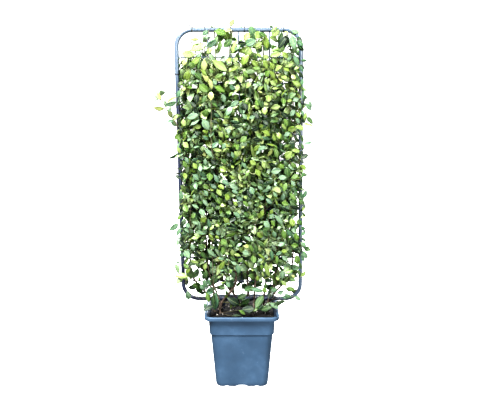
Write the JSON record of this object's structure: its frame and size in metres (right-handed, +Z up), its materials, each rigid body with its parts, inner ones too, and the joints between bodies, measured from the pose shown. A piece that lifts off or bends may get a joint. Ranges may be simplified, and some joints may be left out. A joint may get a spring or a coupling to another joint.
{
  "type": "potted climbing plant on a wire trellis",
  "caption": "Star jasmine trained up a tall tube-framed wire trellis in a square tapered nursery pot; stands on the floor as a leafy screen.",
  "frame": {"origin": "middle of the pot's underside, on the surface it stands on", "axes": "+Z up, X along the trellis, -Y towards the front"},
  "size_m": [0.6378, 0.3, 1.4582],
  "materials": {
    "pot_plastic": "injection moulded, satin slate blue-grey with faint mottling",
    "potting_soil": "loose dark peat and bark mix, matt, with pale specks",
    "coated_tube": "anthracite blue powder coat, satin",
    "coated_wire": "dark powder coat, satin",
    "tie": "dark plastic covered wire, matt",
    "foliage": "glossy leathery leaves, yellow-green when young and dark green below, with a paler midrib; brown woody stems"
  },
  "bodies": {
    "root": {"pot": "pot_plastic", "soil": "potting_soil", "trellis_frame": "coated_tube", "trellis_leg_left": "coated_tube", "trellis_leg_right": "coated_tube", "trellis_upright_1": "coated_wire", "trellis_upright_2": "coated_wire", "trellis_upright_3": "coated_wire", "trellis_crosswire_01": "coated_wire", "trellis_crosswire_02": "coated_wire", "trellis_crosswire_03": "coated_wire", "trellis_crosswire_04": "coated_wire", "trellis_crosswire_05": "coated_wire", "trellis_crosswire_06": "coated_wire", "trellis_crosswire_07": "coated_wire", "trellis_crosswire_08": "coated_wire", "trellis_crosswire_09": "coated_wire", "trellis_crosswire_10": "coated_wire", "tie_top_1": "tie", "tie_top_2": "tie", "tie_top_3": "tie", "tie_top_4": "tie", "tie_top_5": "tie", "tie_left_1": "tie", "tie_left_2": "tie", "tie_left_3": "tie", "tie_right_1": "tie", "vine_01": "foliage", "vine_02": "foliage", "vine_03": "foliage", "vine_04": "foliage", "vine_05": "foliage", "vine_06": "foliage", "vine_07": "foliage", "vine_08": "foliage", "vine_09": "foliage", "vine_10": "foliage"}
  },
  "joints": []
}
